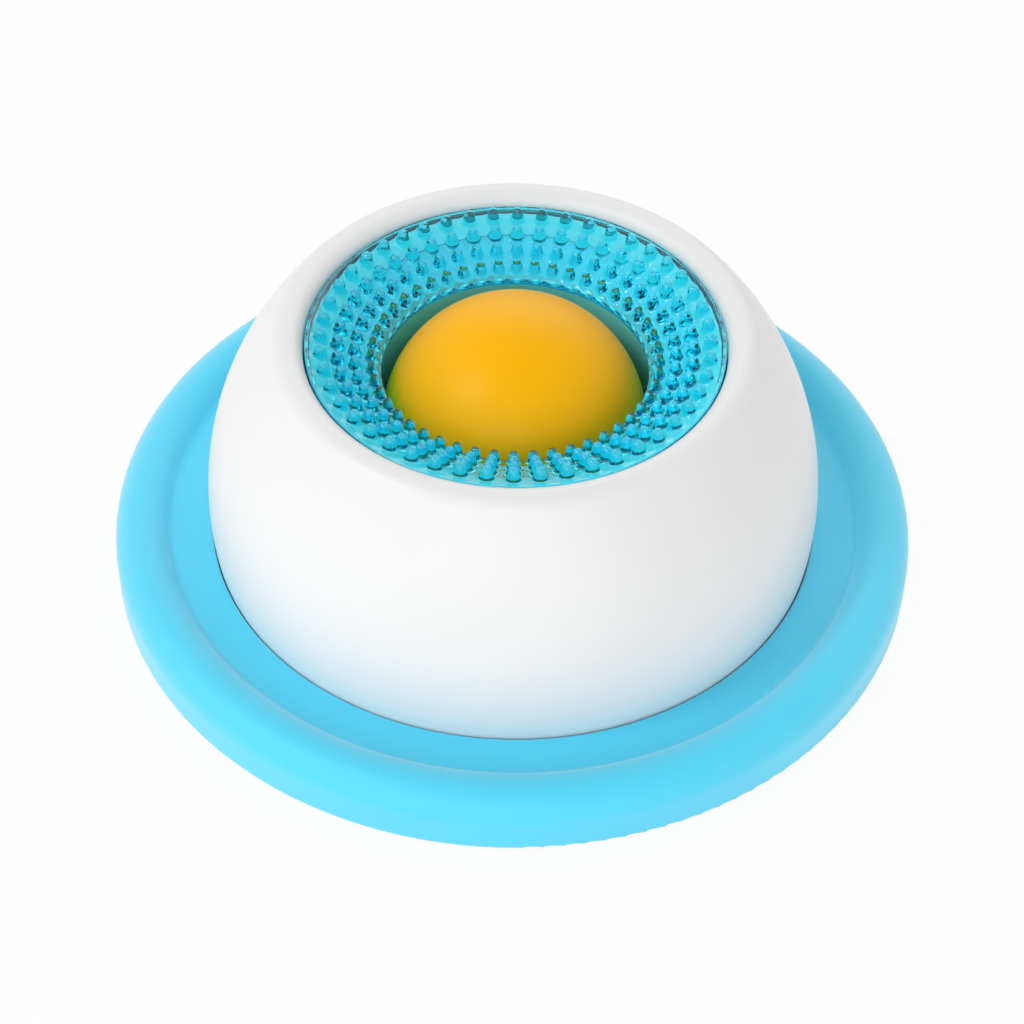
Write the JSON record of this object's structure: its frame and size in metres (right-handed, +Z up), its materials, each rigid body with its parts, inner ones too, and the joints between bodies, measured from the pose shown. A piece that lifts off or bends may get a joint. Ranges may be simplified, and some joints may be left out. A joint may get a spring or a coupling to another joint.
{
  "type": "lick bowl",
  "caption": "Round pet lick bowl: white dome on a rimmed blue tray, with a screw-on ring of pins round a rolling ball in a lift-out cup.",
  "frame": {"origin": "on the ground at the centre of the bowl", "axes": "+Z up, +X to the right and +Y away in the picture's view"},
  "size_m": [0.2098, 0.2098, 0.0774],
  "materials": {
    "tray_blue": "soft matte",
    "dome_white": "satin",
    "cup_cyan": "smooth",
    "ring_cyan": "clear, polished",
    "ball_amber": "satin",
    "seal_grey": "soft matte",
    "foot_rubber": "soft matte",
    "screw_steel": "plain"
  },
  "bodies": {
    "base": {"base_tray": "tray_blue", "grip_foot_1": "foot_rubber", "grip_foot_2": "foot_rubber", "grip_foot_3": "foot_rubber", "grip_foot_4": "foot_rubber", "grip_foot_5": "foot_rubber", "grip_foot_6": "foot_rubber"},
    "housing": {"housing_shell": "dome_white", "base_plate": "dome_white", "base_plate_seal": "seal_grey", "base_plate_screw_1": "screw_steel", "base_plate_screw_2": "screw_steel", "base_plate_screw_3": "screw_steel", "base_plate_screw_4": "screw_steel", "screw_plug_1": "foot_rubber", "screw_plug_2": "foot_rubber", "screw_plug_3": "foot_rubber", "screw_plug_4": "foot_rubber"},
    "cup": {"reservoir_cup": "cup_cyan", "flange_seal": "seal_grey"},
    "gasket": {"ring_gasket": "seal_grey"},
    "ring": {"lick_ring": "ring_cyan"},
    "ball": {"ball_upper_half": "ball_amber", "ball_lower_half": "ball_amber"}
  },
  "joints": [
    {"name": "housing_lift", "type": "slide", "parent": "base", "child": "housing", "axis": [0, 0, 1], "range_m": [0, 0.03]},
    {"name": "cup_lift", "type": "slide", "parent": "housing", "child": "cup", "axis": [0, 0, 1], "range_m": [0, 0.075]},
    {"name": "ring_rise", "type": "slide", "parent": "cup", "child": "gasket", "axis": [0, 0, 1], "range_m": [0, 0.0241]},
    {"name": "ring_turn", "type": "hinge", "parent": "gasket", "child": "ring", "pos_m": [0, 0, 0.07], "axis": [0, 0, 1], "range_deg": [0, 360]},
    {"name": "ball_spin", "type": "hinge", "parent": "cup", "child": "ball", "pos_m": [0, 0, 0.0434], "axis": [1, 0, 0], "continuous": true}
  ],
  "couplings": [
    {"joint": "ring_rise", "follows": "ring_turn", "m_per_rad": 0.0038197}
  ]
}
